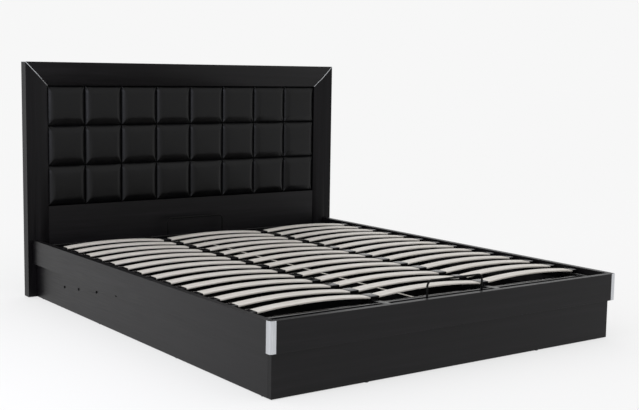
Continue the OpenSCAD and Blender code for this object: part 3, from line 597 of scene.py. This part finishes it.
def stuffed_square(width, height, depth):
    """One upholstered square: a crowned form inflated as cloth over its foam, fixed at the back."""
    start = crowned_square(width - 2 * PAD_START, height - 2 * PAD_START, depth - PAD_SWELL)
    piece = link_mesh("stuffed_square", start, LEATHER)
    bpy.context.view_layer.objects.active = piece
    piece.data.remesh_voxel_size = PAD_VOXEL
    bpy.ops.object.voxel_remesh()
    before = [v.co.copy() for v in piece.data.vertices]
    fixed = piece.vertex_groups.new(name="fixed_to_board")
    fixed.add([v.index for v in piece.data.vertices if v.co.y > -PAD_VOXEL / 2], 1.0, "REPLACE")
    cloth = piece.modifiers.new("cloth", "CLOTH")
    cloth.settings.vertex_group_mass = fixed.name
    cloth.settings.use_pressure = True
    cloth.settings.uniform_pressure_force = PAD_PRESSURE
    cloth.settings.mass = PAD_MASS
    cloth.settings.tension_stiffness = cloth.settings.compression_stiffness = PAD_STIFFNESS
    cloth.settings.bending_stiffness = PAD_BENDING
    cloth.settings.effector_weights.gravity = 0
    scene = bpy.context.scene
    for step in range(1, PAD_STEPS + 1):
        scene.frame_set(step)
    after = [v.co.copy() for v in piece.evaluated_get(bpy.context.evaluated_depsgraph_get()).data.vertices]
    scene.frame_set(1)
    bm = bmesh.new()
    bm.from_mesh(piece.data)
    for vert, old, new in zip(bm.verts, before, after):
        move = new - old
        move.length = min(move.length, PAD_CAP)
        spot = old + move
        vert.co = (max(-width / 2, min(width / 2, spot.x)), min(0, spot.y),
                   max(-height / 2, min(height / 2, spot.z)))
    bmesh.ops.smooth_vert(bm, verts=bm.verts, factor=0.5, use_axis_x=True, use_axis_y=True, use_axis_z=True)
    wide, high = (max(abs(v.co[axis]) for v in bm.verts) for axis in (0, 2))
    deep = -min(v.co.y for v in bm.verts)
    bmesh.ops.scale(bm, verts=bm.verts, vec=(width / 2 / wide, depth / deep, height / 2 / high))
    mesh = piece.data
    bpy.data.objects.remove(piece)
    bpy.data.meshes.remove(mesh)
    return bm


def pad_row(node, square, size, order):
    """A row of squares, each a turned or mirrored copy with a slightly different depth."""
    low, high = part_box(node)
    pitch = size[0] + PAD_GAP
    bm = bmesh.new()
    for column in range(round((high[0] - low[0] + PAD_GAP) / pitch)):
        copy = square.copy()
        flip_x, flip_z = order.choice((-1, 1)), order.choice((-1, 1))
        fill = order.uniform(PAD_FLATTEST, 1.0)
        at = Vector((low[0] + column * pitch + size[0] / 2, high[1], (low[2] + high[2]) / 2))
        for vert in copy.verts:
            vert.co = at + Vector((vert.co.x * flip_x, vert.co.y * fill, vert.co.z * flip_z))
        if flip_x * flip_z < 0:
            bmesh.ops.reverse_faces(copy, faces=copy.faces)
        part = bpy.data.meshes.new("square")
        copy.to_mesh(part)
        copy.free()
        bm.from_mesh(part)
        bpy.data.meshes.remove(part)
    piece = link_mesh(node + "_upholstery", bm, LEATHER)
    for polygon in piece.data.polygons:
        polygon.use_smooth = True
    finer = piece.modifiers.new("finer", "SUBSURF")
    finer.levels = finer.render_levels = 1
    finish_piece(piece, "base", (node,))


PAD_NODES = ["pads_top_row", "pads_middle_row", "pads_bottom_row"]
PAD_LOW, PAD_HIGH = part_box(PAD_NODES[0])
PAD_COLUMNS = round((PAD_HIGH[0] - PAD_LOW[0]) / (PAD_HIGH[2] - PAD_LOW[2]))
PAD_SIZE = ((PAD_HIGH[0] - PAD_LOW[0] + PAD_GAP) / PAD_COLUMNS - PAD_GAP, PAD_HIGH[2] - PAD_LOW[2],
            PAD_HIGH[1] - PAD_LOW[1])
PAD_SQUARE = stuffed_square(*PAD_SIZE)
PAD_ORDER = random.Random(PAD_SEED)
for node in PAD_NODES:
    pad_row(node, PAD_SQUARE, PAD_SIZE, PAD_ORDER)
PAD_SQUARE.free()


# ---- Studio ----
FLOOR_SIZE = 80
# The floor's own grey and glow, and the sky's strength, together give one plain pale ground.
FLOOR_GREY = (0.32, 0.32, 0.32, 1)
FLOOR_GLOW = 0.632
SKY_STRENGTH = 0.93
WHITE = (1, 1, 1, 1)
# The softbox: its width and height, place and aim in metres, and its power in watts.
SOFTBOX_SIZE = (0.9, 2.0)
SOFTBOX_AT = (-3.2, -1.0, 1.6)
SOFTBOX_AIM = (0, 1, 0.7)
SOFTBOX_WATTS = 30


def studio():
    """A white sweep all round, with one tall softbox at the left for the gloss on the squares."""
    bpy.ops.mesh.primitive_plane_add(size=FLOOR_SIZE)
    floor = bpy.context.object
    floor.name = "floor"
    material, _, shader = new_material("pale_floor")
    for socket, value in {"Base Color": FLOOR_GREY, "Roughness": 1.0, "Specular IOR Level": 0.0,
                          "Emission Color": WHITE, "Emission Strength": FLOOR_GLOW}.items():
        shader.inputs[socket].default_value = value
    floor.data.materials.append(material)
    world = bpy.data.worlds.new("studio")
    bpy.context.scene.world = world
    world.use_nodes = True
    sky = world.node_tree.nodes["Background"]
    sky.inputs["Color"].default_value = WHITE
    sky.inputs["Strength"].default_value = SKY_STRENGTH
    data = bpy.data.lights.new("softbox", "AREA")
    data.shape = "RECTANGLE"
    data.size, data.size_y = SOFTBOX_SIZE
    data.energy = SOFTBOX_WATTS
    data.color = linear("#e9ecff")[:3]
    light = bpy.data.objects.new("softbox", data)
    light.location = SOFTBOX_AT
    light.rotation_euler = (Vector(SOFTBOX_AIM) - light.location).to_track_quat("-Z", "Y").to_euler()
    bpy.context.scene.collection.objects.link(light)
    bpy.context.scene.view_settings.view_transform = "Standard"


studio()
